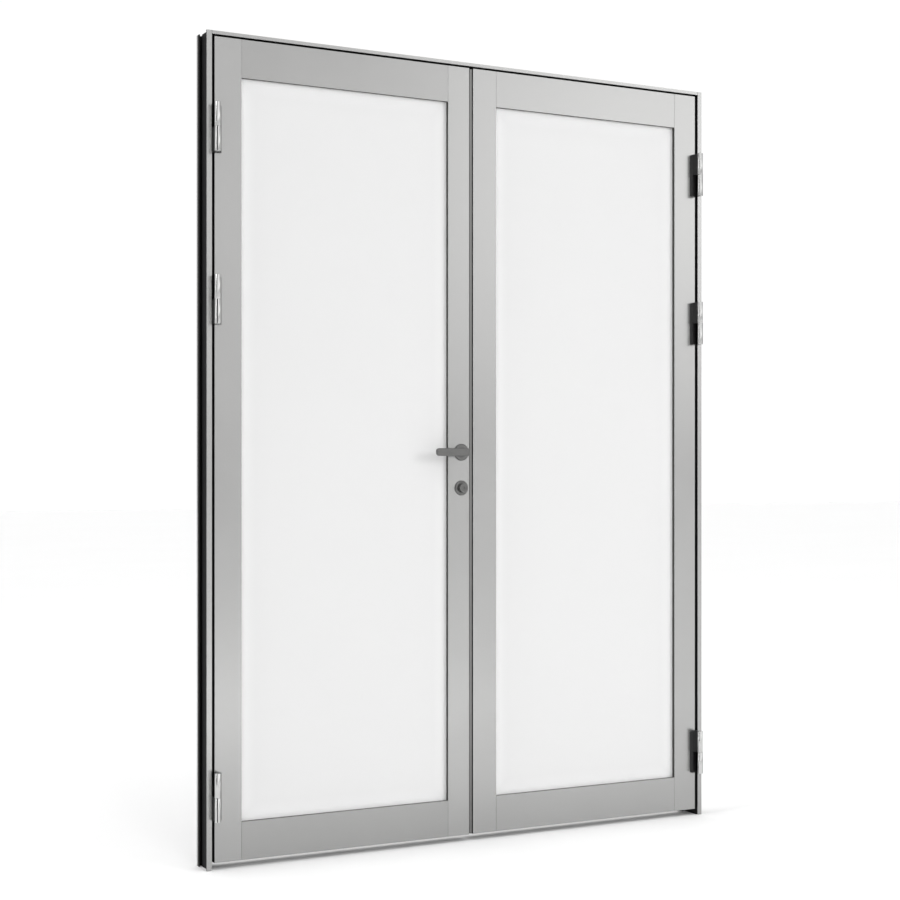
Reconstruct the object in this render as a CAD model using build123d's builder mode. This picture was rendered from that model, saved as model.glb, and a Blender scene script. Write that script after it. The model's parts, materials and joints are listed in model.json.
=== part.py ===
from build123d import *
import os

# Two-leaf glazed metal door in a slim open-channel frame, hung to open towards the front (-Y).
# X runs along the wall, +Y goes through the wall to the back, +Z goes up from the floor.
# The origin is on the left jamb's wall face, at floor level, in the middle of its rear lip.

# Frame
frame_width = 1554
frame_height = 2150
frame_depth = 76
jamb_face = 14
head_face = 9
flange_thickness = 5.5
frame_wall = 3
lip_width = 18
stop_reach = 22
stop_depth = 9
stop_wall = 2
stop_clearance = 0.2
break_thickness = 3
break_clearance = 0.3

# Gaps round the leaves
side_gap = 8
head_gap = 5
floor_gap = 18
leaf_recess = 3
meeting_gap = 12
meeting_shift = -5

# Leaves
leaf_thickness = 60
hinge_stile_width = 74
left_lock_stile_width = 66
right_lock_stile_width = 74
rail_height = 99
rail_recess = 0.4
profile_wall = 2.5
edge_round = 0.8
rebate = 14
nose_depth = 3
joint_gap = 0.4
lock_bevel = 3.7

# Glazing
front_gasket_depth = 9
rear_gasket_depth = 4
gasket_width = 10
gasket_setback = 0.5
sheet_thickness = 6
spacer_depth = 12
spacer_width = 8
glass_edge_gap = 3
bead_wall = 1.6
bead_clearance = 0.3

# Rebate seals on the stops
seal_width = 14
seal_clearance = 0.4
seal_inset = 2

# Meeting lip on the right leaf
lip_reach = 6.5
lip_setback = 6
lip_slope = 2.5
lip_thickness = 3
lip_foot = 1.5
lip_foot_depth = 9

# Hinges
hinge_low_height = 189.5
hinge_high_drop = 249.5
hinge_pair_spacing = 440
hinge_height = 125
knuckle_radius = 8
hinge_standoff = 25
hinge_offset = 0.5
upper_knuckle = 62.5
knuckle_gap = 0.4
seam_width = 2.2
seam_depth = 2.5
seam_angle = 26
pin_radius = 4
pin_length = 45
pin_clearance = 0.08
pin_end_gap = 5
wing_reach = 18
wing_thickness = 7
wing_slant = 5.5
wing_drop = 4
wing_inset = 0.5
arm_thickness = 2
arm_depth = 36
arm_root = 3

# Lock and handles
lock_axis_inset = 25
lever_height = 1074
lever_reach = 95
lever_width = 21
lever_thickness = 9
lever_standoff = 35
lever_leg = 21
lever_bend = 12
lever_inner_bend = 2.5
lever_tip_round = 8
lever_edge_bevel = 1.2
neck_radius = 9
neck_clearance = 0.08
rose_radius = 22.6
rose_thickness = 5
rose_rim = 1.5
spindle_size = 8
spindle_clearance = 0.05
socket_depth = 16
spindle_end_gap = 1
spindle_hole_radius = 7
key_spacing = 98.5
key_rose_radius = 20
key_rose_thickness = 4
key_rose_rim = 1.5
cylinder_radius = 12.2
cylinder_stand = 17
cylinder_clearance = 0.1
cylinder_rim = 0.8
forend_width = 20
forend_ear = 35
forend_thickness = 2.5
forend_clearance = 0.2
case_depth = 42
case_width = 16
case_margin = 36
latch_width = 12
latch_height = 18
latch_length = 20
latch_stand = 1.5
latch_above_lever = 21
bolt_width = 9
bolt_height = 32
bolt_length = 30
strike_width = 18
strike_margin = 24
strike_thickness = 2
strike_hole_play = 1

# Places that follow from those sizes
rear_y = lip_width / 2
front_y = rear_y - frame_depth
stop_y = rear_y - stop_depth
leaf_front = front_y + leaf_recess
leaf_back = leaf_front + leaf_thickness
leaf_middle = (leaf_front + leaf_back) / 2
leaf_top = frame_height - head_face - head_gap
leaf_bottom = floor_gap
leaf_height = leaf_top - leaf_bottom
meeting_x = frame_width / 2 + meeting_shift
left_hinge_edge = jamb_face + side_gap
right_hinge_edge = frame_width - left_hinge_edge
left_lock_edge = meeting_x - meeting_gap / 2
right_lock_edge = meeting_x + meeting_gap / 2
opening_bottom = leaf_bottom + rail_height
opening_top = leaf_top - rail_height
glass_front_y = leaf_front + nose_depth + front_gasket_depth
glass_rear_y = glass_front_y + 2 * sheet_thickness + spacer_depth
bead_front_y = glass_rear_y + rear_gasket_depth
hinge_y = leaf_front - hinge_standoff
lever_x = left_lock_edge - lock_axis_inset
key_height = lever_height - key_spacing
lock_height = (lever_height + key_height) / 2
case_length = key_spacing + 2 * case_margin
forend_length = case_length + 2 * forend_ear
latch_z = lever_height + latch_above_lever
latch_rise = latch_z - lock_height
hinge_high_height = frame_height - hinge_high_drop
hinge_heights = (hinge_low_height, hinge_high_height - hinge_pair_spacing, hinge_high_height)
faces_of_leaf = ((leaf_front, -1), (leaf_back, 1))

os.makedirs("parts", exist_ok=True)


def save(piece, name):
    piece.part.label = name
    export_step(piece.part, f"parts/{name}.step")


# Frame: open channels, with door stops fixed to them at the back

def channel_points(face):
    """Channel section: first value from the wall side inwards, second value along Y."""
    return [
        (0, front_y),
        (face, front_y),
        (face, rear_y),
        (0, rear_y),
        (0, rear_y - lip_width),
        (frame_wall, rear_y - lip_width),
        (frame_wall, rear_y - frame_wall),
        (face - frame_wall, rear_y - frame_wall),
        (face - frame_wall, front_y + flange_thickness),
        (0, front_y + flange_thickness),
    ]


def make_jamb(wall_x, inward):
    with BuildPart() as jamb:
        with BuildSketch(Plane.XY):
            with BuildLine():
                Polyline([(wall_x + inward * d, y) for d, y in channel_points(jamb_face)], close=True)
            make_face()
        extrude(amount=frame_height)
    return jamb


def make_head():
    with BuildPart() as head:
        with BuildSketch(Plane.YZ.offset(jamb_face)):
            with BuildLine():
                Polyline([(y, frame_height - d) for d, y in channel_points(head_face)], close=True)
            make_face()
        extrude(amount=frame_width - 2 * jamb_face)
    return head


def make_stops():
    """Small hollow bars on the channels' webs: the side ones full height, the top one between them."""
    middle_y = (stop_y + rear_y) / 2
    with BuildPart() as stops:
        with BuildSketch(Plane.XY):
            for wall_x, inward in ((0, 1), (frame_width, -1)):
                with Locations((wall_x + inward * (jamb_face + stop_reach / 2), middle_y)):
                    Rectangle(stop_reach, stop_depth)
                    Rectangle(stop_reach - 2 * stop_wall, stop_depth - 2 * stop_wall, mode=Mode.SUBTRACT)
        extrude(amount=frame_height - head_face)
        side_end = jamb_face + stop_reach + stop_clearance
        with BuildSketch(Plane.YZ.offset(side_end)):
            with Locations((middle_y, frame_height - head_face - stop_reach / 2)):
                Rectangle(stop_depth, stop_reach)
                Rectangle(stop_depth - 2 * stop_wall, stop_reach - 2 * stop_wall, mode=Mode.SUBTRACT)
        extrude(amount=frame_width - 2 * side_end)
    return stops


def make_thermal_breaks():
    """Dark insulating strips in the backs of the channels, between the front and rear flanges."""
    start = front_y + flange_thickness + break_clearance
    end = rear_y - lip_width - break_clearance
    depth = end - start
    middle = (start + end) / 2
    with BuildPart() as breaks:
        with BuildSketch(Plane.XY):
            for wall_x, inward in ((0, 1), (frame_width, -1)):
                with Locations((wall_x + inward * (jamb_face - frame_wall - break_thickness / 2), middle)):
                    Rectangle(break_thickness, depth)
        extrude(amount=frame_height)
        with BuildSketch(Plane.YZ.offset(jamb_face)):
            with Locations((middle, frame_height - head_face + frame_wall + break_thickness / 2)):
                Rectangle(depth, break_thickness)
        extrude(amount=frame_width - 2 * jamb_face)
    return breaks


def make_rebate_seals():
    """Rubber strips on the fronts of the stops, which the closed leaves lie against."""
    thickness = stop_y - leaf_back - seal_clearance
    side_x = jamb_face + seal_inset
    top_z = frame_height - head_face - seal_inset
    side_top = top_z - seal_width - bead_clearance
    with BuildPart() as seals:
        with BuildSketch(Plane.XY):
            for wall_x, inward in ((0, 1), (frame_width, -1)):
                with Locations((wall_x + inward * (side_x + seal_width / 2), stop_y - thickness / 2)):
                    Rectangle(seal_width, thickness)
        extrude(amount=side_top)
        with BuildSketch(Plane.YZ.offset(side_x)):
            with Locations((stop_y - thickness / 2, top_z - seal_width / 2)):
                Rectangle(thickness, seal_width)
        extrude(amount=frame_width - 2 * side_x)
    return seals


save(make_jamb(0, 1), "jamb_left")
save(make_jamb(frame_width, -1), "jamb_right")
save(make_head(), "head")
save(make_stops(), "door_stops")
save(make_thermal_breaks(), "thermal_breaks")
save(make_rebate_seals(), "rebate_seals")


# Leaves: hollow stiles with the rails butted between them

def stile_sketch(edge, inward, width, bevel):
    """Tube with a front nose towards the glass; the outer edge may be bevelled towards the back."""
    tube = width - rebate
    points = [
        (edge, leaf_front),
        (edge + inward * width, leaf_front),
        (edge + inward * width, leaf_front + nose_depth),
        (edge + inward * tube, leaf_front + nose_depth),
        (edge + inward * tube, leaf_back),
        (edge + inward * bevel, leaf_back),
    ]
    with BuildSketch(Plane.XY.offset(leaf_bottom)) as section:
        with BuildLine():
            Polyline(points, close=True)
        make_face()
        fillet(section.vertices().group_by(Axis.Y)[0], radius=edge_round)
    with BuildSketch(Plane.XY.offset(leaf_bottom)) as hollow:
        with BuildLine():
            Polyline(points, close=True)
        make_face()
        offset(amount=-profile_wall, kind=Kind.INTERSECTION)
    return section, hollow


def make_stile(edge, inward, width, bevel=0):
    section, hollow = stile_sketch(edge, inward, width, bevel)
    with BuildPart() as stile:
        add(section.sketch)
        extrude(amount=leaf_height)
        add(hollow.sketch)
        extrude(amount=leaf_height - profile_wall, mode=Mode.SUBTRACT)
    return stile


def make_left_lock_stile():
    """The left leaf's lock stile, with the holes of its handle and cylinder and the lock's slot."""
    section, hollow = stile_sketch(left_lock_edge, -1, left_lock_stile_width, lock_bevel)
    with BuildPart() as stile:
        add(section.sketch)
        extrude(amount=leaf_height)
        add(hollow.sketch)
        extrude(amount=leaf_height - profile_wall, mode=Mode.SUBTRACT)
        with BuildSketch(Plane.XZ.offset(-leaf_front)):
            with Locations((lever_x, lever_height)):
                Circle(spindle_hole_radius)
            with Locations((lever_x, key_height)):
                Circle(cylinder_radius + cylinder_clearance)
        extrude(amount=-leaf_thickness, mode=Mode.SUBTRACT)
        with BuildSketch(lock_edge_plane):
            Rectangle(forend_width + 2 * forend_clearance, forend_length + 2 * forend_clearance)
        extrude(amount=-2 * profile_wall, mode=Mode.SUBTRACT)
    return stile


def make_rail(left_x, right_x, opening_z, away):
    """Rail between two stiles: its ends are cut back in front, where the stiles' noses lie,
    with a hairline gap between nose and rail."""
    low_outer = opening_z + away * rail_height
    inner = opening_z + away * rebate
    face = leaf_front + rail_recess
    points = [
        (face, low_outer),
        (face, opening_z),
        (leaf_front + nose_depth, opening_z),
        (leaf_front + nose_depth, inner),
        (leaf_back, inner),
        (leaf_back, low_outer),
    ]
    with BuildPart() as rail:
        with BuildSketch(Plane.YZ.offset(left_x - rebate)) as section:
            with BuildLine():
                Polyline(points, close=True)
            make_face()
            offset(amount=-profile_wall, kind=Kind.INTERSECTION, mode=Mode.SUBTRACT)
        extrude(amount=right_x - left_x + 2 * rebate)
        with BuildSketch(Plane.XZ.offset(-leaf_front)):
            for x, outward in ((left_x, -1), (right_x, 1)):
                middle_x = x + outward * (rebate - joint_gap) / 2
                with Locations((middle_x, opening_z + away * rail_height / 2)):
                    Rectangle(rebate + joint_gap, rail_height)
        extrude(amount=-nose_depth, mode=Mode.SUBTRACT)
    return rail


# Glazing

def make_sheets(left_x, right_x):
    """The sealed unit's front and rear sheet."""
    overlap = rebate - glass_edge_gap
    with BuildPart() as sheets:
        for y in (glass_front_y, glass_rear_y - sheet_thickness):
            with BuildSketch(Plane.XZ.offset(-y)):
                with Locations(((left_x + right_x) / 2, (opening_bottom + opening_top) / 2)):
                    Rectangle(right_x - left_x + 2 * overlap, opening_top - opening_bottom + 2 * overlap)
            extrude(amount=-sheet_thickness)
    return sheets


def make_ring(left_x, right_x, grow, width, spans):
    """Flat rectangular rings round the glass; grow is from the opening's edge to the outer edge."""
    ring_width = right_x - left_x + 2 * grow
    ring_height = opening_top - opening_bottom + 2 * grow
    with BuildPart() as ring:
        for y, depth in spans:
            with BuildSketch(Plane.XZ.offset(-y)):
                with Locations(((left_x + right_x) / 2, (opening_bottom + opening_top) / 2)):
                    Rectangle(ring_width, ring_height)
                    Rectangle(ring_width - 2 * width, ring_height - 2 * width, mode=Mode.SUBTRACT)
            extrude(amount=-depth)
    return ring


def make_beads(left_x, right_x):
    """Hollow bars that hold the glass from behind: long ones at the sides, short ones between."""
    depth = leaf_back - bead_front_y
    bar = rebate - bead_clearance
    middle_y = bead_front_y + depth / 2
    with BuildPart() as beads:
        with BuildSketch(Plane.XY.offset(opening_bottom - bar)):
            for x, outward in ((left_x, -1), (right_x, 1)):
                with Locations((x + outward * bar / 2, middle_y)):
                    Rectangle(bar, depth)
                    Rectangle(bar - 2 * bead_wall, depth - 2 * bead_wall, mode=Mode.SUBTRACT)
        extrude(amount=opening_top - opening_bottom + 2 * bar)
        with BuildSketch(Plane.YZ.offset(left_x + bead_clearance)):
            for z, outward in ((opening_bottom, -1), (opening_top, 1)):
                with Locations((middle_y, z + outward * bar / 2)):
                    Rectangle(depth, bar)
                    Rectangle(depth - 2 * bead_wall, bar - 2 * bead_wall, mode=Mode.SUBTRACT)
        extrude(amount=right_x - left_x - 2 * bead_clearance)
    return beads


def save_leaf(side, hinge_edge, lock_edge, inward, lock_width):
    """Stiles, rails and glazing of one leaf; inward points from its hinges to its lock edge."""
    left_x, right_x = sorted((hinge_edge + inward * hinge_stile_width, lock_edge - inward * lock_width))
    save(make_stile(hinge_edge, inward, hinge_stile_width), f"{side}_hinge_stile")
    save(make_rail(left_x, right_x, opening_top, 1), f"{side}_top_rail")
    save(make_rail(left_x, right_x, opening_bottom, -1), f"{side}_bottom_rail")
    save(make_sheets(left_x, right_x), f"{side}_glass")
    spacer_y = glass_front_y + sheet_thickness
    spacer = make_ring(left_x, right_x, rebate - glass_edge_gap, spacer_width, [(spacer_y, spacer_depth)])
    save(spacer, f"{side}_spacer")
    gasket_spans = [(leaf_front + nose_depth, front_gasket_depth), (glass_rear_y, rear_gasket_depth)]
    gaskets = make_ring(left_x, right_x, gasket_width + gasket_setback, gasket_width, gasket_spans)
    save(gaskets, f"{side}_gaskets")
    save(make_beads(left_x, right_x), f"{side}_beads")


bevel_direction = Vector(-lock_bevel, leaf_thickness, 0)
bevel_normal = Vector(leaf_thickness, lock_bevel, 0)
lock_edge_plane = Plane(
    origin=(left_lock_edge - lock_bevel / 2, leaf_middle, lock_height),
    x_dir=bevel_direction,
    z_dir=bevel_normal,
)

save_leaf("left", left_hinge_edge, left_lock_edge, 1, left_lock_stile_width)
save(make_left_lock_stile(), "left_lock_stile")
save_leaf("right", right_hinge_edge, right_lock_edge, -1, right_lock_stile_width)
save(make_stile(right_lock_edge, 1, right_lock_stile_width), "right_lock_stile")


# Meeting lip: a strip along the right leaf's edge, whose slanted front covers most of the gap

with BuildPart() as meeting_lip:
    lip_y = leaf_front + lip_setback
    tip_y = lip_y + lip_slope
    with BuildSketch(Plane.XY.offset(leaf_bottom)):
        with BuildLine():
            Polyline(
                (right_lock_edge, lip_y),
                (right_lock_edge - lip_reach, tip_y),
                (right_lock_edge - lip_reach, tip_y + lip_thickness),
                (right_lock_edge - lip_foot, tip_y + lip_thickness),
                (right_lock_edge - lip_foot, tip_y + lip_foot_depth),
                (right_lock_edge, tip_y + lip_foot_depth),
                close=True,
            )
        make_face()
    extrude(amount=leaf_height)
save(meeting_lip, "meeting_lip")


# Hinges: the upper knuckle is on the leaf, the lower knuckle and the pin are on the frame

def make_leaf_hinge(edge, inward, height):
    axis_x = edge - inward * hinge_offset
    bottom = height - hinge_height / 2
    top = bottom + hinge_height
    split = top - upper_knuckle
    base_start = edge + inward * wing_inset
    base_end = base_start + inward * wing_reach
    base_face = leaf_front - wing_thickness
    shoulder = base_end - inward * wing_slant
    with BuildPart() as hinge:
        # Base strip on the leaf's face, over the hinge's whole height
        with BuildSketch(Plane.XY.offset(bottom)):
            with BuildLine():
                Polyline(
                    (base_start, leaf_front),
                    (base_end, leaf_front),
                    (shoulder, base_face),
                    (base_start, base_face),
                    close=True,
                )
            make_face()
        extrude(amount=hinge_height)
        # Wedge-shaped wing from the base strip out to the knuckle
        with BuildSketch(Plane.XY.offset(split + knuckle_gap)):
            with BuildLine():
                Polyline(
                    (base_start, base_face),
                    (shoulder, base_face),
                    (axis_x + inward * knuckle_radius, hinge_y),
                    (axis_x, hinge_y),
                    close=True,
                )
            make_face()
        extrude(amount=upper_knuckle - knuckle_gap)
        # The wing's top slopes down from the knuckle to the base strip's edge
        with BuildSketch(Plane.XZ.offset(-leaf_front)):
            with BuildLine():
                Polyline(
                    (axis_x + inward * knuckle_radius, top),
                    (base_end, top),
                    (base_end, top - wing_drop),
                    close=True,
                )
            make_face()
        extrude(amount=hinge_standoff + knuckle_radius, mode=Mode.SUBTRACT)
        with BuildSketch(Plane.XY.offset(split + knuckle_gap)):
            with Locations((axis_x, hinge_y)):
                Circle(knuckle_radius)
        extrude(amount=upper_knuckle - knuckle_gap)
        with BuildSketch(Plane.XY.offset(split)):
            with Locations((axis_x, hinge_y)):
                Circle(pin_radius + pin_clearance)
        extrude(amount=pin_length + pin_end_gap, mode=Mode.SUBTRACT)
    return hinge


def make_frame_hinge(wall_x, edge, inward, height):
    axis_x = edge - inward * hinge_offset
    bottom = height - hinge_height / 2
    lower_knuckle = hinge_height - upper_knuckle
    web_x = wall_x + inward * jamb_face
    with BuildPart() as hinge:
        with BuildSketch(Plane.XY.offset(bottom)):
            with Locations((axis_x, hinge_y)):
                Circle(knuckle_radius)
        extrude(amount=lower_knuckle)
        with BuildSketch(Plane.XY.offset(bottom + lower_knuckle)):
            with Locations((axis_x, hinge_y)):
                Circle(pin_radius)
        extrude(amount=pin_length)
        # Seam down the front of the knuckle
        knuckle_plane = Plane(origin=(axis_x, hinge_y, bottom))
        with BuildSketch(knuckle_plane.rotated((0, 0, -inward * seam_angle))):
            with Locations((0, -(knuckle_radius - seam_depth / 2))):
                Rectangle(seam_width, seam_depth)
        extrude(amount=lower_knuckle, mode=Mode.SUBTRACT)
        # Strap flat on the jamb's web, bent over to the back of the knuckle
        with BuildSketch(Plane.XY.offset(bottom)):
            with BuildLine():
                Polyline(
                    (web_x, front_y + arm_depth),
                    (web_x, front_y),
                    (axis_x - inward * arm_root, hinge_y + arm_root),
                    (axis_x + inward * arm_root, hinge_y + arm_root),
                    (web_x + inward * arm_thickness, front_y),
                    (web_x + inward * arm_thickness, front_y + arm_depth),
                    close=True,
                )
            make_face()
        extrude(amount=lower_knuckle)
    return hinge


for level, height in zip(("low", "middle", "high"), hinge_heights):
    save(make_leaf_hinge(left_hinge_edge, 1, height), f"left_leaf_hinge_{level}")
    save(make_leaf_hinge(right_hinge_edge, -1, height), f"right_leaf_hinge_{level}")
    save(make_frame_hinge(0, left_hinge_edge, 1, height), f"left_frame_hinge_{level}")
    save(make_frame_hinge(frame_width, right_hinge_edge, -1, height), f"right_frame_hinge_{level}")


# Lock, handles and cylinder on the left leaf

with BuildPart() as lock_body:
    with BuildSketch(lock_edge_plane):
        Rectangle(forend_width, forend_length)
    extrude(amount=-forend_thickness)
    with BuildSketch(lock_edge_plane.offset(-forend_thickness)):
        Rectangle(case_width, case_length)
    extrude(amount=-case_depth)
    with BuildSketch(Plane.XZ.offset(-leaf_front)):
        with Locations((lever_x, lever_height)):
            Circle(spindle_hole_radius)
        with Locations((lever_x, key_height)):
            Circle(cylinder_radius + cylinder_clearance)
    extrude(amount=-leaf_thickness, mode=Mode.SUBTRACT)
    for rise, width, height, length in (
        (latch_rise, latch_width, latch_height, latch_length),
        (0, bolt_width, bolt_height, bolt_length),
    ):
        with BuildSketch(lock_edge_plane):
            with Locations((0, rise)):
                Rectangle(width + 2 * forend_clearance, height + 2 * forend_clearance)
        extrude(amount=-length, mode=Mode.SUBTRACT)
save(lock_body, "lock_body")

with BuildPart() as latch_bolt:
    with BuildSketch(lock_edge_plane.offset(latch_stand)):
        with Locations((0, latch_rise)):
            Rectangle(latch_width, latch_height)
    extrude(amount=-(latch_length + latch_stand))
    nose = latch_bolt.faces().sort_by(Axis.X)[-1]
    chamfer(nose.edges().sort_by(Axis.Y)[0], length=latch_stand)
save(latch_bolt, "latch_bolt")

with BuildPart() as dead_bolt:
    with BuildSketch(lock_edge_plane):
        Rectangle(bolt_width, bolt_height)
    extrude(amount=-bolt_length)
save(dead_bolt, "dead_bolt")

with BuildPart() as strike_plate:
    strike_bottom = lock_height - bolt_height / 2 - strike_margin
    strike_top = latch_z + latch_height / 2 + strike_margin
    with BuildSketch(Plane.YZ.offset(right_lock_edge - strike_thickness)):
        with Locations((leaf_middle, (strike_bottom + strike_top) / 2)):
            Rectangle(strike_width, strike_top - strike_bottom)
        for z, width, height in (
            (latch_z, latch_width, latch_height),
            (lock_height, bolt_width, bolt_height),
        ):
            with Locations((leaf_middle, z)):
                Rectangle(width + 2 * strike_hole_play, height + 2 * strike_hole_play, mode=Mode.SUBTRACT)
    extrude(amount=strike_thickness)
save(strike_plate, "strike_plate")


def face_plane(face_y, outward, stand=0):
    """Plane parallel to the leaf, at a stand-off from one of its faces; outward is -1 in front."""
    return Plane.XZ.offset(-(face_y + outward * stand))


def make_roses(height, radius, thickness, bore, rim):
    """A pair of round roses with bevelled rims, one on each face of the lock stile."""
    with BuildPart() as roses:
        for face_y, outward in faces_of_leaf:
            with BuildSketch(face_plane(face_y, outward)):
                with Locations((lever_x, height)):
                    Circle(radius)
                    Circle(bore, mode=Mode.SUBTRACT)
            extrude(amount=-outward * thickness)
        rims = roses.edges().filter_by(GeomType.CIRCLE).group_by(SortBy.RADIUS)[-1].sort_by(Axis.Y)
        chamfer((rims[0], rims[-1]), length=rim)
    return roses


def make_lever(face_y, outward):
    """Flat bar bent back to the rose, with a round neck that turns in it."""
    near = face_y + outward * (lever_standoff - lever_thickness / 2)
    far = near + outward * lever_thickness
    neck_end = face_y + outward * (rose_thickness + lever_thickness / 2)
    leg = lever_leg / 2
    with BuildPart() as lever:
        with BuildSketch(Plane.XY.offset(lever_height - lever_width / 2)) as plan:
            with BuildLine():
                Polyline(
                    (lever_x - leg, neck_end),
                    (lever_x + leg, neck_end),
                    (lever_x + leg, far),
                    (lever_x - lever_reach, far),
                    (lever_x - lever_reach, near),
                    (lever_x - leg, near),
                    close=True,
                )
            make_face()
            by_depth = plan.vertices().group_by(Axis.Y)
            outer = by_depth[0 if outward < 0 else -1].sort_by(Axis.X)[-1]
            inner = by_depth[1 if outward < 0 else -2].sort_by(Axis.X)[-1]
            fillet(outer, radius=lever_bend)
            fillet(inner, radius=lever_inner_bend)
        extrude(amount=lever_width)
        fillet(lever.edges().filter_by(Axis.Y).group_by(Axis.X)[0], radius=lever_tip_round)
        grip_face = lever.faces().filter_by(Axis.Y).sort_by(Axis.Y)[0 if outward < 0 else -1]
        chamfer(grip_face.edges(), length=lever_edge_bevel)
        with BuildSketch(face_plane(face_y, outward)):
            with Locations((lever_x, lever_height)):
                Circle(neck_radius)
        extrude(amount=-outward * (rose_thickness + lever_thickness))
        with BuildSketch(face_plane(face_y, outward)):
            with Locations((lever_x, lever_height)):
                Rectangle(spindle_size + 2 * spindle_clearance, spindle_size + 2 * spindle_clearance)
        extrude(amount=-outward * socket_depth, mode=Mode.SUBTRACT)
    return lever


save(make_roses(lever_height, rose_radius, rose_thickness, neck_radius + neck_clearance, rose_rim), "roses")
cylinder_bore = cylinder_radius + cylinder_clearance
save(make_roses(key_height, key_rose_radius, key_rose_thickness, cylinder_bore, key_rose_rim), "key_roses")
save(make_lever(leaf_front, -1), "front_lever")
save(make_lever(leaf_back, 1), "rear_lever")

with BuildPart() as spindle:
    spindle_stand = socket_depth - spindle_end_gap
    with BuildSketch(face_plane(leaf_front, -1, spindle_stand)):
        with Locations((lever_x, lever_height)):
            Rectangle(spindle_size, spindle_size)
    extrude(amount=-(leaf_thickness + 2 * spindle_stand))
save(spindle, "spindle")

with BuildPart() as key_cylinder:
    with BuildSketch(face_plane(leaf_front, -1, cylinder_stand)):
        with Locations((lever_x, key_height)):
            Circle(cylinder_radius)
    extrude(amount=-(leaf_thickness + 2 * cylinder_stand))
    chamfer(key_cylinder.edges().filter_by(GeomType.CIRCLE), length=cylinder_rim)
save(key_cylinder, "key_cylinder")
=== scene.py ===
import bmesh
import bpy
import json
import math
from mathutils import Matrix, Vector


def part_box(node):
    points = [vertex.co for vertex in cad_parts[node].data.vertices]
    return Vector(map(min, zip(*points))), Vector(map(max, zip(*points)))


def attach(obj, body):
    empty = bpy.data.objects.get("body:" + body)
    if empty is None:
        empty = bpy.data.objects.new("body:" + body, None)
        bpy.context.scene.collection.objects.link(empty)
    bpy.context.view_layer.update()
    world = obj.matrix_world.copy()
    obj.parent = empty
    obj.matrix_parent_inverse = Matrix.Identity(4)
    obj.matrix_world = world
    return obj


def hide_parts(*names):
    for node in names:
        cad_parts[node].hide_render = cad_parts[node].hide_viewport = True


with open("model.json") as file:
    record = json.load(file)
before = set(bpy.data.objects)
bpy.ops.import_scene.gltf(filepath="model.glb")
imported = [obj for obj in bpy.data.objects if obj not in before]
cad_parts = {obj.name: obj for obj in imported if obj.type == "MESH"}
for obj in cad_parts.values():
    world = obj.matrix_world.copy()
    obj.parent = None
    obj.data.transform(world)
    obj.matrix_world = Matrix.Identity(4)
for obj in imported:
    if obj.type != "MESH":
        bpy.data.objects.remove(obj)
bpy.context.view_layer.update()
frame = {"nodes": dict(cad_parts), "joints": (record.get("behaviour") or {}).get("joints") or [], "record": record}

nodes = frame["nodes"]
scene = bpy.context.scene

# Camera, from the vanishing lines of the reference view
camera_place = (-1.5203, -4.224, 1.021)
camera_turn = -28.15
camera_lens = 68.68
camera_sensor = 36
camera_shift = 0.0239

# Places in the part, from its own pieces
leaf_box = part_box("left_hinge_stile")
jamb_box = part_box("jamb_left")
leaf_front = leaf_box[0].y
leaf_back = leaf_box[1].y
frame_front = jamb_box[0].y
frame_rear = jamb_box[1].y
frame_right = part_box("jamb_right")[1].x
frame_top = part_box("head")[1].z
joint_of = {joint["name"]: joint for joint in frame["joints"]}

# Floor: white under and behind the door, a little greyer in front of it: painted shade, which the metal reflects
# low down
floor_reach = 40
floor_front_y = -1.25
floor_front_shade = 0.80
floor_shade_blend = 0.15

# Metal: the profiles are shells over a dark core, partly a real insulating strip and partly painted shade in the
# gaps and recesses; their grain is fine
metal_share = 0.85
shell_depth = 0.0012
flange_depth = 0.0015
lip_depth = 0.009
lip_skin = 0.0005
jamb_pocket_shade = 0.0115
head_pocket_shade = 0.0065
core_and_shade_colour = (0.012, 0.012, 0.012)
core_and_shade_roughness = 0.6
core_and_shade_sheen = 0.12
metal_sheen = 0.5
grain_size = 0.0016
coarse_grain_size = 0.00416
leaf_grain = 0.10
cloud_size = 0.35
satin_roughness = 0.22

# The profiles are a little darker towards the floor: painted shade
low_shade_bottom = 0.08
low_shade_top = 0.36
low_shade_tone = 0.84

# Glass: painted light, whiter towards its edges so that the recess's shade doesn't grey it. A step is a place in
# the edge zone and the share of the difference that is left there. Some of the light passes through.
glass_white = 0.75
glass_painted_edge_white = 0.96
glass_painted_edge_zone = 0.055
GLASS_PAINTED_EDGE_STEPS = ((0.25, 0.55), (0.5, 0.2))
glass_passing = 0.12

# Hinges
barrel_radius = 0.008
barrel_skin = 0.0003
hinge_shade_colour = (0.042, 0.042, 0.042)
hinge_shade_roughness = 0.5
cap_radius = 0.0072
cap_height = 0.0009
washer_radius = 0.0077
washer_hole = 0.0044
washer_thickness = 0.0003
washer_lift = 0.00005

# Handles, cylinder and screws
rose_bevel = 0.0032
rose_wall = 0.0018
rose_rim_drop = 0.0002
rose_rim_step = 0.0008
groove_depth = 0.0004
groove_start = 0.0023
groove_end = 0.0036
groove_slope = 0.0003
bore_edge = 0.0004
shadow_underlay_edge = 0.0005
shadow_underlay_cover = 0.002
shadow_underlay_height = 0.0009
neck_bore = 0.0091
cylinder_play = 0.0001
cylinder_rim = 0.0012
cylinder_rim_step = 0.0004
plug_radius = 0.0072
plug_groove = 0.0003
plug_edge = 0.0003
plug_length = 0.012
keyway_width = 0.0016
keyway_length = 0.0075
keyway_depth = 0.006
screw_radius = 0.0042
screw_stand = 0.0004
socket_width = 0.0024
screw_inset = 0.012
forend_bevel = 0.0037
grub_radius = 0.0025
grub_place = 0.62

# Rubber. A gasket's edge runs from its outer face to the glass: step over its width, share of its depth.
gasket_width = 0.010
GASKET_EDGE = (
    (-0.0006, 0), (0, 0.12), (-0.0009, 0.45), (-0.0009, 0.62), (-0.0002, 0.78), (0.0003, 0.92), (0, 1),
)
seal_width = 0.014
seal_steps = 8


# Materials. Most values of a noise lie between noise_low and noise_high.

noise_low, noise_high = 0.3, 0.7


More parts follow.
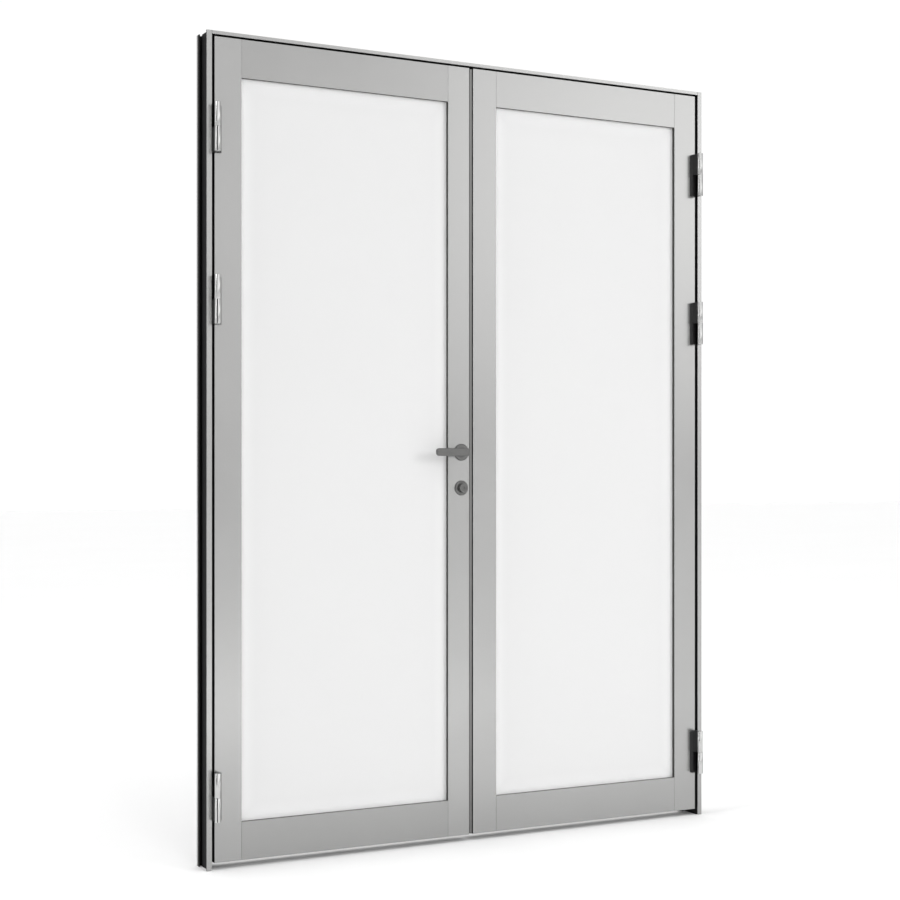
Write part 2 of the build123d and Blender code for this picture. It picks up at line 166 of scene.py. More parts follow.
def new_material(name, metallic=0.0, roughness=0.5, ior=1.5):
    """Material with its node tree and its main shader."""
    material = bpy.data.materials.new(name)
    material.use_nodes = True
    shader = material.node_tree.nodes["Principled BSDF"]
    shader.inputs["Metallic"].default_value = metallic
    shader.inputs["Roughness"].default_value = roughness
    shader.inputs["IOR"].default_value = ior
    return material, material.node_tree, shader


def place_vector(tree, stretch=(1, 1, 1)):
    """Surface position in metres, in the part's own frame, stretched along the axes."""
    coordinates = tree.nodes.new("ShaderNodeTexCoord")
    mapping = tree.nodes.new("ShaderNodeMapping")
    mapping.inputs["Scale"].default_value = stretch
    tree.links.new(coordinates.outputs["Object"], mapping.inputs["Vector"])
    return mapping.outputs["Vector"]


def noise(tree, vector, size, detail=2.0, roughness=0.5):
    """Noise whose blobs are about size metres across."""
    texture = tree.nodes.new("ShaderNodeTexNoise")
    texture.inputs["Scale"].default_value = 1 / size
    texture.inputs["Detail"].default_value = detail
    texture.inputs["Roughness"].default_value = roughness
    tree.links.new(vector, texture.inputs["Vector"])
    return texture.outputs["Fac"]


def remap(tree, value, low, high, source_low=noise_low, source_high=noise_high):
    """Value moved from the source's range into the one from low to high."""
    node = tree.nodes.new("ShaderNodeMapRange")
    node.inputs["From Min"].default_value = source_low
    node.inputs["From Max"].default_value = source_high
    node.inputs["To Min"].default_value = low
    node.inputs["To Max"].default_value = high
    tree.links.new(value, node.inputs["Value"])
    return node.outputs["Result"]


def colour_between(tree, value, dark, light):
    ramp = tree.nodes.new("ShaderNodeValToRGB")
    ramp.color_ramp.elements[0].position = noise_low
    ramp.color_ramp.elements[0].color = (*dark, 1)
    ramp.color_ramp.elements[1].position = noise_high
    ramp.color_ramp.elements[1].color = (*light, 1)
    tree.links.new(value, ramp.inputs["Fac"])
    return ramp.outputs["Color"]


def bump(tree, height, distance, strength, under=None):
    node = tree.nodes.new("ShaderNodeBump")
    node.inputs["Distance"].default_value = distance
    node.inputs["Strength"].default_value = strength
    tree.links.new(height, node.inputs["Height"])
    if under is not None:
        tree.links.new(under, node.inputs["Normal"])
    return node.outputs["Normal"]


def math_node(tree, operation, first, second=None):
    node = tree.nodes.new("ShaderNodeMath")
    node.operation = operation
    for socket, value in zip(node.inputs, (first, second)):
        if isinstance(value, (int, float)):
            socket.default_value = value
        elif value is not None:
            tree.links.new(value, socket)
    return node.outputs["Value"]


def place_parts(tree):
    split = tree.nodes.new("ShaderNodeSeparateXYZ")
    tree.links.new(place_vector(tree), split.inputs["Vector"])
    return split.outputs["X"], split.outputs["Y"], split.outputs["Z"]


def between(tree, value, low, high):
    """1 where the value lies between low and high, else 0."""
    above = math_node(tree, "GREATER_THAN", value, low)
    below = math_node(tree, "LESS_THAN", value, high)
    return math_node(tree, "MULTIPLY", above, below)


def pick(tree, mask, outside, inside):
    """One number where the mask is 0 and another where it is 1, each a socket or a value."""
    kept = math_node(tree, "MULTIPLY", math_node(tree, "SUBTRACT", 1.0, mask), outside)
    return math_node(tree, "ADD", kept, math_node(tree, "MULTIPLY", mask, inside))


def pick_colour(tree, mask, outside, inside):
    mix = tree.nodes.new("ShaderNodeMix")
    mix.data_type = "RGBA"
    tree.links.new(mask, mix.inputs["Factor"])
    tree.links.new(outside, mix.inputs["A"])
    mix.inputs["B"].default_value = (*inside, 1)
    return mix.outputs["Result"]


def tint_by(tree, tone, factor):
    """Colour times a grey factor."""
    mix = tree.nodes.new("ShaderNodeMix")
    mix.data_type = "RGBA"
    mix.blend_type = "MULTIPLY"
    mix.inputs["Factor"].default_value = 1.0
    tree.links.new(tone, mix.inputs["A"])
    tree.links.new(factor, mix.inputs["B"])
    return mix.outputs["Result"]


def shade(colour, factor):
    return tuple(channel * factor for channel in colour)


def lip_pocket_shade(tree, depth):
    """1 behind the rear lip of the frame channel, away from its outer and inner faces: painted shade inside the
    channel.
    """
    x, y, z = place_parts(tree)
    from_side = math_node(tree, "MINIMUM", x, math_node(tree, "SUBTRACT", frame_right, x))
    from_wall = math_node(tree, "MINIMUM", from_side, math_node(tree, "SUBTRACT", frame_top, z))
    inside = between(tree, from_wall, lip_skin, depth)
    behind = between(tree, y, frame_front, frame_rear - lip_skin)
    return math_node(tree, "MULTIPLY", inside, behind)


def blasted_metal(name, colour, roughness, grain, clouding=0.02, core_and_shade=None, pocket_shade=None):
    """Satin metal with a fine grain and faint clouds in tone and gloss.
    The core stretch, from low to high Y, is where the profile is dark: partly a real insulating strip, partly
    painted shade on the faces in the gaps and recesses. The pocket depth is that of the frame channel, whose
    inside behind the rear lip is as dark: painted shade."""
    material, tree, shader = new_material(name, metallic=metal_share, roughness=roughness)
    place = place_vector(tree)
    clouds = noise(tree, place, cloud_size, detail=3)
    speckle = noise(tree, place, grain_size, detail=1)
    coarse = noise(tree, place, coarse_grain_size, detail=1)
    tone = colour_between(tree, clouds, shade(colour, 1 - clouding), shade(colour, 1 + clouding))
    # Painted shade: the metal is a little darker towards the floor
    height = place_parts(tree)[2]
    foot = remap(tree, height, low_shade_tone, 1.0, low_shade_bottom, low_shade_top)
    tone = tint_by(tree, tone, foot)
    gloss = remap(tree, clouds, roughness - 0.02, roughness + 0.02)
    if core_and_shade:
        # Dark core and channel pocket: partly a real insulating strip, partly painted shade
        mask = between(tree, place_parts(tree)[1], *core_and_shade)
        if pocket_shade:
            mask = math_node(tree, "MAXIMUM", mask, lip_pocket_shade(tree, pocket_shade))
        tone = pick_colour(tree, mask, tone, core_and_shade_colour)
        gloss = pick(tree, mask, gloss, core_and_shade_roughness)
        tree.links.new(pick(tree, mask, metal_share, 0.0), shader.inputs["Metallic"])
        tree.links.new(pick(tree, mask, metal_sheen, core_and_shade_sheen), shader.inputs["Specular IOR Level"])
    tree.links.new(tone, shader.inputs["Base Color"])
    tree.links.new(gloss, shader.inputs["Roughness"])
    coarse_bump = bump(tree, coarse, distance=0.0004, strength=grain * 0.5)
    fine_bump = bump(tree, speckle, distance=0.0003, strength=grain, under=coarse_bump)
    tree.links.new(fine_bump, shader.inputs["Normal"])
    return material


def brushed_metal(name, colour, roughness, along, mark_size=0.0004, strength=0.15):
    """Metal ground or polished along one axis: fine lines that run that way."""
    material, tree, shader = new_material(name, metallic=metal_share, roughness=roughness)
    stretch = [1.0, 1.0, 1.0]
    stretch[along] = 0.02
    marks = noise(tree, place_vector(tree, stretch), mark_size, detail=3)
    clouds = noise(tree, place_vector(tree), 0.03, detail=2)
    tone = colour_between(tree, clouds, shade(colour, 0.95), shade(colour, 1.05))
    tree.links.new(tone, shader.inputs["Base Color"])
    tree.links.new(remap(tree, marks, roughness - 0.04, roughness + 0.05), shader.inputs["Roughness"])
    tree.links.new(bump(tree, marks, distance=0.0001, strength=strength), shader.inputs["Normal"])
    return material


def hinge_steel(name, axis_x, axis_y):
    """Polished steel on the barrel. Inside its skin, in the seam and the bore, and on the wings and straps outside
    the barrel, the hinge is painted dark and dull: painted shade."""
    material, tree, shader = new_material(name, metallic=1.0)
    marks = noise(tree, place_vector(tree, (1, 1, 0.02)), 0.0006, detail=2)
    x, y, _ = place_parts(tree)
    across = math_node(tree, "POWER", math_node(tree, "SUBTRACT", x, axis_x), 2.0)
    outward = math_node(tree, "POWER", math_node(tree, "SUBTRACT", y, axis_y), 2.0)
    distance = math_node(tree, "SQRT", math_node(tree, "ADD", across, outward))
    # Painted shade: inside the barrel's skin, and outside it on the wings and straps, the hinge is dark
    inside = math_node(tree, "LESS_THAN", distance, barrel_radius - barrel_skin)
    outside = math_node(tree, "GREATER_THAN", distance, barrel_radius + barrel_skin)
    painted_shade = math_node(tree, "MAXIMUM", inside, outside)
    tone = colour_between(tree, marks, (0.53, 0.53, 0.525), (0.57, 0.57, 0.565))
    tree.links.new(pick_colour(tree, painted_shade, tone, hinge_shade_colour), shader.inputs["Base Color"])
    gloss = pick(tree, painted_shade, remap(tree, marks, 0.10, 0.16), hinge_shade_roughness)
    tree.links.new(gloss, shader.inputs["Roughness"])
    tree.links.new(bump(tree, marks, distance=0.00005, strength=0.1), shader.inputs["Normal"])
    return material


def rubber(name, colour, roughness=0.7, sheen_level=0.3):
    material, tree, shader = new_material(name, roughness=roughness)
    shader.inputs["Specular IOR Level"].default_value = sheen_level
    place = place_vector(tree)
    clouds = noise(tree, place, 0.02, detail=3)
    tone = colour_between(tree, clouds, shade(colour, 0.85), shade(colour, 1.15))
    tree.links.new(tone, shader.inputs["Base Color"])
    tree.links.new(remap(tree, clouds, roughness - 0.06, roughness + 0.06), shader.inputs["Roughness"])
    skin = bump(tree, noise(tree, place, 0.0008), distance=0.0002, strength=0.3)
    tree.links.new(skin, shader.inputs["Normal"])
    return material


def edge_distance(tree, low, high):
    """Distance in X and Z from a surface point to the nearest side of a box, seen from the front."""
    x, _, z = place_parts(tree)
    sides = [
        math_node(tree, "SUBTRACT", x, low.x),
        math_node(tree, "SUBTRACT", high.x, x),
        math_node(tree, "SUBTRACT", z, low.z),
        math_node(tree, "SUBTRACT", high.z, z),
    ]
    nearest = math_node(tree, "MINIMUM", sides[0], sides[1])
    return math_node(tree, "MINIMUM", nearest, math_node(tree, "MINIMUM", sides[2], sides[3]))


def satin_glass(name, low, high):
    """White satin glass between two corners: it scatters light both ways and hides the view. Towards its edges it
    is painted whiter: painted light against the shade of the recess.
    """
    material, tree, shader = new_material(name, roughness=0.45, ior=1.45)
    # Painted light: whiter towards the edges, against the shade of the recess
    inside = math_node(tree, "DIVIDE", edge_distance(tree, low, high), glass_painted_edge_zone)
    ramp = tree.nodes.new("ShaderNodeValToRGB")
    ramp.color_ramp.interpolation = "B_SPLINE"
    ramp.color_ramp.elements[0].color = (*[glass_painted_edge_white] * 3, 1)
    ramp.color_ramp.elements[1].color = (*[glass_white] * 3, 1)
    for position, share in GLASS_PAINTED_EDGE_STEPS:
        white = glass_white + share * (glass_painted_edge_white - glass_white)
        ramp.color_ramp.elements.new(position).color = (*[white] * 3, 1)
    tree.links.new(inside, ramp.inputs["Fac"])
    tone = ramp.outputs["Color"]
    shader.inputs["Specular IOR Level"].default_value = 0.15
    tree.links.new(tone, shader.inputs["Base Color"])
    satin_bump = bump(tree, noise(tree, place_vector(tree), 0.0006), distance=0.0001, strength=0.1)
    tree.links.new(satin_bump, shader.inputs["Normal"])
    passing = tree.nodes.new("ShaderNodeBsdfTranslucent")
    tree.links.new(tone, passing.inputs["Color"])
    mix = tree.nodes.new("ShaderNodeMixShader")
    mix.inputs["Fac"].default_value = glass_passing
    tree.links.new(shader.outputs["BSDF"], mix.inputs[1])
    tree.links.new(passing.outputs["BSDF"], mix.inputs[2])
    tree.links.new(mix.outputs["Shader"], tree.nodes["Material Output"].inputs["Surface"])
    return material


# The dark core is partly a real insulating strip and partly painted shade in the gaps, the recesses and the frame
# channel
leaf_core_and_shade = (leaf_front + shell_depth, leaf_back - shell_depth)
frame_core_and_shade = (frame_front + flange_depth, frame_rear - lip_depth)
frame_tone = (0.452, 0.452, 0.447)
satin = {"roughness": satin_roughness, "grain": leaf_grain}
profile_metal = blasted_metal("blasted_profile", (0.437, 0.437, 0.432), core_and_shade=leaf_core_and_shade, **satin)
# Painted shade: the left leaf's rails get a darker copy of the profile metal
shaded_rail_metal = blasted_metal("shaded_left_rails", (0.405, 0.405, 0.4), core_and_shade=leaf_core_and_shade, **satin)
jamb_metal = blasted_metal("blasted_frame", frame_tone, core_and_shade=frame_core_and_shade, pocket_shade=jamb_pocket_shade, **satin)
head_metal = blasted_metal("blasted_head", frame_tone, core_and_shade=frame_core_and_shade, pocket_shade=head_pocket_shade, **satin)
plain_metal = blasted_metal("blasted_bead", (0.445, 0.445, 0.44), **satin)
axis_of = {side: joint_of[f"{side}_leaf_swing"]["pos_m"][:2] for side in ("left", "right")}
hinge_steel_of = {side: hinge_steel(f"{side}_hinge_steel", *axis_of[side]) for side in axis_of}
handle_metal = brushed_metal("dark_handle", (0.155, 0.155, 0.152), 0.30, along=0)
lock_metal = brushed_metal("lock_steel", (0.42, 0.42, 0.41), 0.28, along=2)
gasket_rubber = rubber("gasket_rubber", (0.06, 0.06, 0.055))
seal_rubber = rubber("seal_rubber", (0.012, 0.012, 0.012), sheen_level=0.1)
insulation = rubber("insulation_strip", (0.012, 0.012, 0.013), 0.6, sheen_level=0.1)
spacer_metal = blasted_metal("spacer_bar", (0.3, 0.3, 0.3), roughness=0.4, grain=0.05)
cap_steel = brushed_metal("hinge_cap_steel", (0.5, 0.5, 0.495), 0.2, along=0)
washer_nylon = rubber("washer_nylon", (0.03, 0.03, 0.03), 0.5)
# Painted shade: the lip in the meeting gap gets a darker copy of the blasted metal
shaded_lip_metal = blasted_metal("shaded_lip", (0.2, 0.2, 0.195), roughness=0.3, grain=leaf_grain)
glass_of = {}
for side in ("left", "right"):
    glass_of[side] = satin_glass(f"{side}_satin_glass", *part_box(f"{side}_glass"))

MATERIAL_OF_SLOT = {
    "profile": profile_metal,
    "hinge": cap_steel,
    "glass": glass_of["left"],
    "gasket": gasket_rubber,
    "seal": seal_rubber,
    "insulation": insulation,
    "spacer": spacer_metal,
    "lock": lock_metal,
    "handle": handle_metal,
}


def dress(node, material):
    mesh = node.data
    mesh.materials.clear()
    mesh.materials.append(material)


for part in frame["record"]["subparts"]:
    dress(nodes[part["node"]], MATERIAL_OF_SLOT[part["material_slot"]])
for name in ("jamb_left", "jamb_right"):
    dress(nodes[name], jamb_metal)
dress(nodes["head"], head_metal)
for name in ("door_stops", "left_beads", "right_beads"):
    dress(nodes[name], plain_metal)
for rail in ("left_top_rail", "left_bottom_rail"):
    dress(nodes[rail], shaded_rail_metal)
dress(nodes["meeting_lip"], shaded_lip_metal)
dress(nodes["key_cylinder"], handle_metal)
for side in ("left", "right"):
    dress(nodes[f"{side}_glass"], glass_of[side])
    for half in ("leaf", "frame"):
        for level in ("low", "middle", "high"):
            dress(nodes[f"{side}_{half}_hinge_{level}"], hinge_steel_of[side])


# Edges: the CAD pieces get the small rounds that real edges have

def round_edges(node, width, segments=2, angle=30):
    weld = node.modifiers.new("weld", "WELD")
    weld.merge_threshold = 0.00001
    bevel = node.modifiers.new("rounds", "BEVEL")
    bevel.width = width
    bevel.segments = segments
    bevel.limit_method = "ANGLE"
    bevel.angle_limit = math.radians(angle)
    bevel.harden_normals = True


# Radius of the rounds, and the nodes that have them
EDGE_ROUNDS = {
    0.0005: ("jamb_left", "jamb_right", "head", "door_stops", "meeting_lip", "left_beads", "right_beads"),
    0.0003: tuple(name for name in nodes if "_hinge_" in name and "stile" not in name),
    0.0006: ("latch_bolt", "dead_bolt", "strike_plate", "lock_body"),
    0.0009: ("front_lever", "rear_lever"),
}
for width, names in EDGE_ROUNDS.items():
    for name in names:
        round_edges(nodes[name], width)


# Added pieces

def finish_piece(mesh_data, name, material, body, smooth_angle=35):
    """Turns the built mesh into a piece that moves with a body; sharp edges stay sharp."""
    bmesh.ops.recalc_face_normals(mesh_data, faces=mesh_data.faces)
    for face in mesh_data.faces:
        face.smooth = True
    for edge in mesh_data.edges:
        edge.smooth = edge.calc_face_angle(math.pi) < math.radians(smooth_angle)
    mesh = bpy.data.meshes.new(name)
    mesh_data.to_mesh(mesh)
    mesh_data.free()
    mesh.materials.append(material)
    piece = bpy.data.objects.new(name, mesh)
    scene.collection.objects.link(piece)
    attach(piece, body)
    return piece


def towards(place, direction):
    """Places a turned shape: its own Z axis points along direction."""
    turn = Vector(direction).to_track_quat("Z", "Y").to_matrix().to_4x4()
    return Matrix.Translation(Vector(place)) @ turn


def bridge(mesh_data, first, second):
    """Faces between two closed rings of points, or between a ring and a single point."""
    count = max(len(first), len(second))
    for step in range(count):
        following = (step + 1) % count
        if len(first) == 1:
            mesh_data.faces.new((first[0], second[step], second[following]))
        elif len(second) == 1:
            mesh_data.faces.new((first[step], first[following], second[0]))
        else:
            mesh_data.faces.new((first[step], first[following], second[following], second[step]))


def turned(mesh_data, profile, place, segments=48):
    """Closed shape turned round its Z axis. A profile point is (radius, height) or (radius, height, sides),
    where sides makes that ring a polygon with radius as half its width across flats."""
    rings = []
    for radius, height, *sides in profile:
        if radius == 0:
            rings.append([mesh_data.verts.new(place @ Vector((0, 0, height)))])
            continue
        ring = []
        for step in range(segments):
            angle = 2 * math.pi * step / segments
            reach = radius
            if sides:
                corner = math.pi / sides[0]
                reach = radius / math.cos((angle % (2 * corner)) - corner)
            point = Vector((reach * math.cos(angle), reach * math.sin(angle), height))
            ring.append(mesh_data.verts.new(place @ point))
        rings.append(ring)
    pairs = list(zip(rings, rings[1:]))
    if len(rings[0]) > 1 and len(rings[-1]) > 1:
        pairs.append((rings[-1], rings[0]))
    for first, second in pairs:
        bridge(mesh_data, first, second)


def screw_profile(radius):
    """Flat screw head with a hexagon socket; it stands a little proud of what it holds."""
    return [
        (0, -screw_stand),
        (radius, -screw_stand),
        (radius, screw_stand * 0.5),
        (radius * 0.9, screw_stand),
        (socket_width / 2 * 1.15, screw_stand, 6),
        (socket_width / 2, screw_stand * 0.8, 6),
        (socket_width / 2, screw_stand * 0.1, 6),
        (0, screw_stand * 0.1),
    ]


def make_rose(node, rose_name, bore):
    """Stepped rose on both faces of the leaf: bevelled rim, flat ring, fine groove round the bore."""
    low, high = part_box(node)
    radius = (high.x - low.x) / 2
    centre_x, centre_z = (low.x + high.x) / 2, (low.z + high.z) / 2
    thickness = leaf_front - low.y
    profile = [
        (bore, 0),
        (radius, 0),
        (radius, rose_wall),
        (radius - 0.3 * rose_bevel, rose_wall + 0.5 * (thickness - rose_wall)),
        (radius - rose_bevel, thickness - rose_rim_drop),
        (radius - rose_bevel - rose_rim_step, thickness),
        (bore + groove_end, thickness),
        (bore + groove_end - groove_slope, thickness - groove_depth),
        (bore + groove_start + groove_slope, thickness - groove_depth),
        (bore + groove_start, thickness),
        (bore + bore_edge, thickness),
        (bore, thickness - bore_edge),
    ]
    shape = bmesh.new()
    for y, direction in ((leaf_front, -1), (leaf_back, 1)):
        turned(shape, profile, towards((centre_x, y, centre_z), (0, direction, 0)), segments=72)
    piece = finish_piece(shape, rose_name, handle_metal, "leaf_left")
    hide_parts(node)
    # A black underlay under each rose, a little wider than it: partly a real underlay, partly a painted contact
    # shadow round the rose's base
    shadow_underlay = bmesh.new()
    inner, outer = radius - shadow_underlay_cover, radius + shadow_underlay_edge
    ring = [(inner, 0), (outer, 0), (outer, shadow_underlay_height), (inner, shadow_underlay_height)]
    for y, direction in ((leaf_front, -1), (leaf_back, 1)):
        turned(shadow_underlay, ring, towards((centre_x, y, centre_z), (0, direction, 0)), segments=72)
    finish_piece(shadow_underlay, f"{rose_name}_underlay", seal_rubber, "leaf_left")


# Outline of the keyway with a ward on each side, in halves of its width and length
KEYWAY_OUTLINE = (
    (-1, -1), (1, -1), (1, 0.2), (1.6, 0.25), (1.6, 0.55), (1, 0.6),
    (1, 1), (-1, 1), (-1, -0.1), (-1.5, -0.15), (-1.5, -0.45), (-1, -0.5),
)


def add_plug(shape, place, segments=48):
    """Cylinder plug with a keyway cut into its face."""
    outer, slot = [], []
    for step in range(segments):
        angle = 2 * math.pi * step / segments
        point = Vector((plug_radius * math.cos(angle), plug_radius * math.sin(angle), 0))
        outer.append(shape.verts.new(place @ point))
    half_width, half_length = keyway_width / 2, keyway_length / 2
    for x, y in KEYWAY_OUTLINE:
        slot.append(shape.verts.new(place @ Vector((x * half_width, y * half_length, 0))))
    loops = []
    for ring in (outer, slot):
        loops += [shape.edges.new((a, b)) for a, b in zip(ring, ring[1:] + ring[:1])]
    bmesh.ops.triangle_fill(shape, use_beauty=True, edges=loops)
    down = place.to_3x3() @ Vector((0, 0, -1))
    for ring, depth in ((outer, plug_length), (slot, keyway_depth)):
        lower = [shape.verts.new(vertex.co + down * depth) for vertex in ring]
        bridge(shape, ring, lower)
        shape.faces.new(lower)


def make_key_cylinder():
    """Round cylinder through the leaf, with a plug and keyway at each end."""
    low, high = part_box("key_cylinder")
    radius = (high.x - low.x) / 2
    centre = ((low.x + high.x) / 2, (low.y + high.y) / 2, (low.z + high.z) / 2)
    half = (high.y - low.y) / 2
    inner = plug_radius + plug_groove
    rim = [
        (radius, half - cylinder_rim),
        (radius - cylinder_rim_step, half - cylinder_rim_step),
        (radius - cylinder_rim, half),
        (inner + plug_edge, half),
        (inner, half - plug_edge),
    ]
    profile = rim + [(r, -h) for r, h in reversed(rim)]
    shape = bmesh.new()
    turned(shape, profile, towards(centre, (0, -1, 0)), segments=72)
    for y, direction in ((low.y + plug_groove, -1), (high.y - plug_groove, 1)):
        add_plug(shape, towards((centre[0], y, centre[2]), (0, direction, 0)))
    piece = finish_piece(shape, "key_cylinder_with_plugs", handle_metal, "leaf_left")
    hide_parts("key_cylinder")


def make_hinge_trim(side):
    """Domed caps on the barrels' ends and a thin washer where the knuckles meet."""
    axis_x, axis_y = axis_of[side]
    cap = [
        (0, -cap_height),
        (cap_radius, -cap_height),
        (cap_radius, cap_height * 0.2),
        (cap_radius * 0.9, cap_height * 0.6),
        (cap_radius * 0.6, cap_height * 0.9),
        (0, cap_height),
    ]
    washer = [
        (washer_hole, 0),
        (washer_radius, 0),
        (washer_radius, washer_thickness),
        (washer_hole, washer_thickness),
    ]
    tops, bottoms, washers = bmesh.new(), bmesh.new(), bmesh.new()
    for level in ("low", "middle", "high"):
        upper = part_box(f"{side}_leaf_hinge_{level}")
        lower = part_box(f"{side}_frame_hinge_{level}")
        split = (upper[0].z + upper[1].z) / 2
        turned(tops, cap, towards((axis_x, axis_y, upper[1].z), (0, 0, 1)), segments=32)
        turned(bottoms, cap, towards((axis_x, axis_y, lower[0].z), (0, 0, -1)), segments=32)
        washer_place = towards((axis_x, axis_y, split + washer_lift), (0, 0, 1))
        turned(washers, washer, washer_place, segments=32)
    finish_piece(tops, f"{side}_hinge_top_caps", cap_steel, f"leaf_{side}")
    finish_piece(bottoms, f"{side}_hinge_bottom_caps", cap_steel, "frame")
    finish_piece(washers, f"{side}_hinge_washers", washer_nylon, "frame")


def make_screws():
    """Screws at the ends of the forend and the strike plate, and the levers' grub screws."""
    body_box, strike_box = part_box("lock_body"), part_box("strike_plate")
    middle_y = (leaf_front + leaf_back) / 2
    head = screw_profile(screw_radius)
    forend = bmesh.new()
    forend_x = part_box("left_lock_stile")[1].x - forend_bevel / 2
    slope = Vector((leaf_back - leaf_front, forend_bevel, 0)).normalized()
    for z in (body_box[0].z + screw_inset, body_box[1].z - screw_inset):
        turned(forend, head, towards((forend_x, middle_y, z), slope), segments=36)
    finish_piece(forend, "forend_screws", lock_metal, "leaf_left")
    strike = bmesh.new()
    for z in (strike_box[0].z + screw_inset, strike_box[1].z - screw_inset):
        turned(strike, head, towards((strike_box[0].x, middle_y, z), (-1, 0, 0)), segments=36)
    finish_piece(strike, "strike_screws", lock_metal, "leaf_right")
    grubs = bmesh.new()
    lever_x = joint_of["lever_turn"]["pos_m"][0]
    for name, direction in (("front_lever", -1), ("rear_lever", 1)):
        low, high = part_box(name)
        face = leaf_front if direction < 0 else leaf_back
        outer = low.y if direction < 0 else high.y
        y = face + grub_place * (outer - face)
        place = towards((lever_x, y, low.z), (0, 0, -1))
        turned(grubs, screw_profile(grub_radius), place, segments=36)
    finish_piece(grubs, "lever_grub_screws", lock_metal, "lever")


def swept_frame(shape, x_low, x_high, z_low, z_high, section):
    """Closed rectangular frame with mitred corners. A section point is (inset, y)."""
    rings = []
    for inset, y in section:
        rings.append([
            shape.verts.new((x, y, z)) for x, z in (
                (x_low + inset, z_low + inset),
                (x_high - inset, z_low + inset),
                (x_high - inset, z_high - inset),
                (x_low + inset, z_high - inset),
            )
        ])
    for first, second in zip(rings, rings[1:] + rings[:1]):
        bridge(shape, first, second)


def make_gaskets(side):
    """Rubber gaskets on both sides of the glass, with a soft rounded lip against it."""
    low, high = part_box(f"{side}_gaskets")
    glass_low, glass_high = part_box(f"{side}_glass")
    shape = bmesh.new()
    for outer, inner in ((low.y, glass_low.y), (high.y, glass_high.y)):
        depth = inner - outer
        edge = [(gasket_width + step, outer + share * depth) for step, share in GASKET_EDGE]
        section = [(0, outer), *edge, (0, inner)]
        swept_frame(shape, low.x, high.x, low.z, high.z, section)
    piece = finish_piece(shape, f"{side}_lipped_gaskets", gasket_rubber, f"leaf_{side}", smooth_angle=50)
    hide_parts(f"{side}_gaskets")


def make_bulb_seals():
    """Bulb seals on the stops: a flat foot with a round bulb that the leaves press."""
    low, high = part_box("rebate_seals")
    thickness = high.y - low.y
    outline = [(0, 0), (0, 0.3), (0.25, 0.42)]
    for step in range(seal_steps + 1):
        angle = math.pi * step / seal_steps
        outline.append((0.5 - 0.25 * math.cos(angle), 0.45 + 0.55 * math.sin(angle)))
    outline += [(0.75, 0.42), (1, 0.3), (1, 0)]
    section = [(across * seal_width, high.y - rise * thickness) for across, rise in outline]
    shape = bmesh.new()
    rows = []
    for place in ("foot_left", "top_left", "top_right", "foot_right"):
        row = []
        for inset, y in section:
            x = low.x + inset if "left" in place else high.x - inset
            z = low.z if "foot" in place else high.z - inset
            row.append(shape.verts.new((x, y, z)))
        rows.append(row)
    for first, second in zip(rows, rows[1:]):
        bridge(shape, first, second)
    for row in (rows[0], rows[-1]):
        shape.faces.new(row)
    piece = finish_piece(shape, "bulb_seals", seal_rubber, "frame", smooth_angle=50)
    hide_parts("rebate_seals")


cylinder_low, cylinder_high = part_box("key_cylinder")
cylinder_bore = (cylinder_high.x - cylinder_low.x) / 2 + cylinder_play
make_rose("roses", "lever_roses", neck_bore)
make_rose("key_roses", "cylinder_roses", cylinder_bore)
make_key_cylinder()
make_screws()
make_bulb_seals()
for side in ("left", "right"):
    make_hinge_trim(side)
    make_gaskets(side)


# Floor, light and camera

def make_floor():
    mesh = bpy.data.meshes.new("floor")
    corners = [(x * floor_reach, y * floor_reach, 0) for x, y in ((-1, -1), (1, -1), (1, 1), (-1, 1))]
    mesh.from_pydata(corners, [], [(0, 1, 2, 3)])
    floor = bpy.data.objects.new("floor", mesh)
    scene.collection.objects.link(floor)
    material, tree, shader = new_material("pale_floor", roughness=0.9)
    clouds = noise(tree, place_vector(tree), 1.5)
    tone = colour_between(tree, clouds, (0.99, 0.99, 0.99), (0.999, 0.999, 0.999))
    # Painted shade: the floor in front of the door is greyer
    blend_from, blend_to = floor_front_y - floor_shade_blend, floor_front_y + floor_shade_blend
    front_shade = remap(tree, place_parts(tree)[1], floor_front_shade, 1.0, blend_from, blend_to)
    tree.links.new(tint_by(tree, tone, front_shade), shader.inputs["Base Color"])
    shader.inputs["Specular IOR Level"].default_value = 0.1
    mesh.materials.append(material)


def soft_window(tree, angle, centre, half, edge):
    """1 within half degrees of the centre, 0 outside, with an edge that is soft by edge degrees."""
    away = math_node(tree, "ABSOLUTE", math_node(tree, "SUBTRACT", angle, math.radians(centre)))
    window = tree.nodes.new("ShaderNodeMapRange")
    window.interpolation_type = "SMOOTHSTEP"
    window.inputs["From Min"].default_value = math.radians(half - edge)
    window.inputs["From Max"].default_value = math.radians(half + edge)
    window.inputs["To Min"].default_value = 1.0
    window.inputs["To Max"].default_value = 0.0
    tree.links.new(away, window.inputs["Value"])
    return window.outputs["Result"]


# Patches of the sky: azimuth, elevation, half width, half height and soft edge in degrees, then
# strength. Azimuth 0 is in front of the door and 90 is to its right.
sky_strength = 1.02
SKY_PATCHES = {
    "front_right_glow": (48, 10, 20, 6, 6, 0.9),
    "low_front_shade": (22, 15.5, 7, 2.5, 2.5, -0.25),
    "left_strip_light": (-84, 20, 4, 60, 2, 5.0),
    "front_strip_light": (-2, 20, 5, 60, 3, 2.0),
    "left_dark_wall": (-64, 10, 16, 80, 5, -0.93),
    "right_dark_wall": (95, 10, 22, 80, 8, -0.55),
    "horizon_shade": (30, 0, 16, 3, 3, -0.25),
    "rear_left_shade": (-148, 0, 18, 70, 6, -0.5),
}


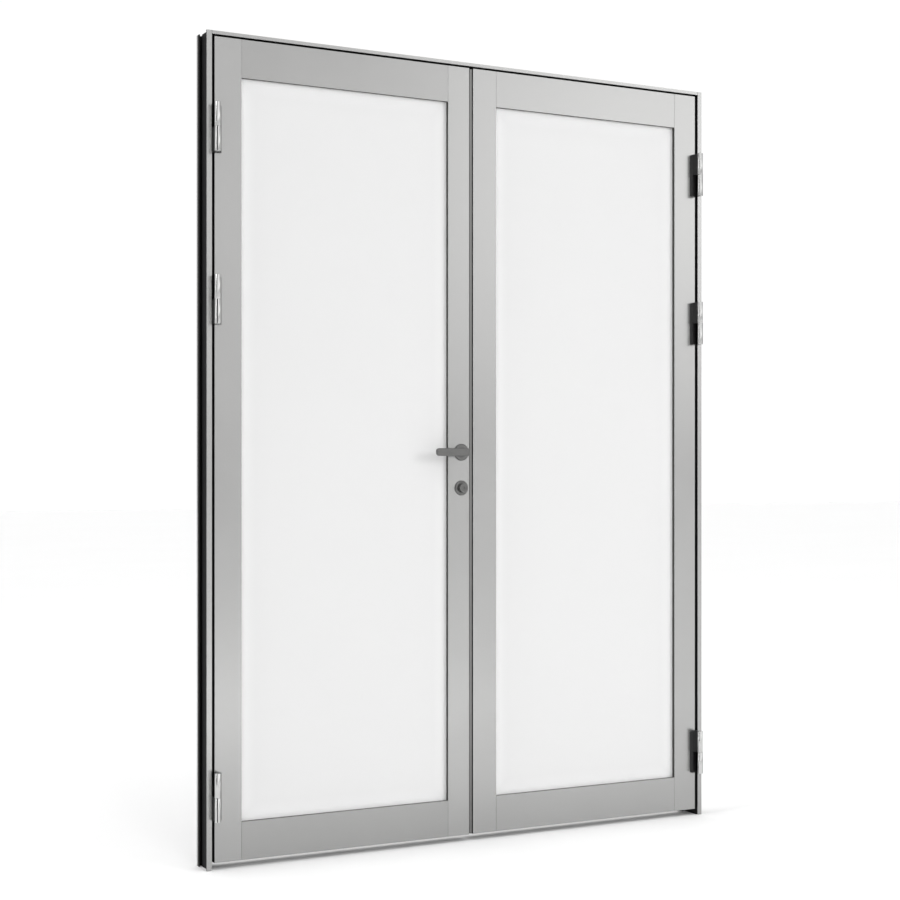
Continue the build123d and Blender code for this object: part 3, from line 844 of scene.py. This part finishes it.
def make_world():
    """Even pale light with brighter and darker patches, which the metal reflects."""
    world = bpy.data.worlds.new("studio")
    scene.world = world
    world.use_nodes = True
    tree = world.node_tree
    coordinates = tree.nodes.new("ShaderNodeTexCoord")
    split = tree.nodes.new("ShaderNodeSeparateXYZ")
    tree.links.new(coordinates.outputs["Generated"], split.inputs["Vector"])
    toward_front = math_node(tree, "MULTIPLY", split.outputs["Y"], -1.0)
    azimuth = math_node(tree, "ARCTAN2", split.outputs["X"], toward_front)
    elevation = math_node(tree, "ARCSINE", split.outputs["Z"])
    total = sky_strength
    for turn, rise, half_width, half_height, edge, strength in SKY_PATCHES.values():
        across = soft_window(tree, azimuth, turn, half_width, edge)
        up = soft_window(tree, elevation, rise, half_height, edge)
        shape = math_node(tree, "MULTIPLY", across, up)
        total = math_node(tree, "ADD", math_node(tree, "MULTIPLY", shape, strength), total)
    background = tree.nodes["Background"]
    background.inputs["Color"].default_value = (1.0, 1.0, 1.0, 1)
    tree.links.new(total, background.inputs["Strength"])


def make_area_light(name, place, target, width, height, power):
    """Rectangular light of some watts at a place, which shines at the target."""
    light = bpy.data.lights.new(name, "AREA")
    light.shape = "RECTANGLE"
    light.size = width
    light.size_y = height
    light.energy = power
    lamp = bpy.data.objects.new(name, light)
    lamp.location = place
    lamp.rotation_euler = (Vector(target) - Vector(place)).to_track_quat("-Z", "Y").to_euler()
    scene.collection.objects.link(lamp)
    return lamp


def make_camera():
    data = bpy.data.cameras.new("camera")
    data.lens = camera_lens
    data.sensor_width = camera_sensor
    data.shift_y = camera_shift
    data.clip_end = 200
    camera = bpy.data.objects.new("camera", data)
    camera.location = camera_place
    camera.rotation_euler = (math.radians(90), 0, math.radians(camera_turn))
    scene.collection.objects.link(camera)
    scene.camera = camera


make_floor()
make_world()
floor_pool = make_area_light(
    "floor_pool", place=(1.05, -3.4, 4.2), target=(1.05, -3.4, 0), width=2.6, height=1.2, power=40
)
floor_pool.data.spread = math.radians(80)
make_area_light(
    "floor_back", place=(-0.2, 1.6, 5.0), target=(-0.2, 1.6, 0), width=2.4, height=2.4, power=28
)
key_window = make_area_light(
    "key_window", place=(8.05, -9.0, 4.1), target=(0.75, 0, 1.0), width=3.2, height=3.2, power=284
)
key_window.visible_glossy = False
make_camera()
scene.view_settings.view_transform = "Standard"
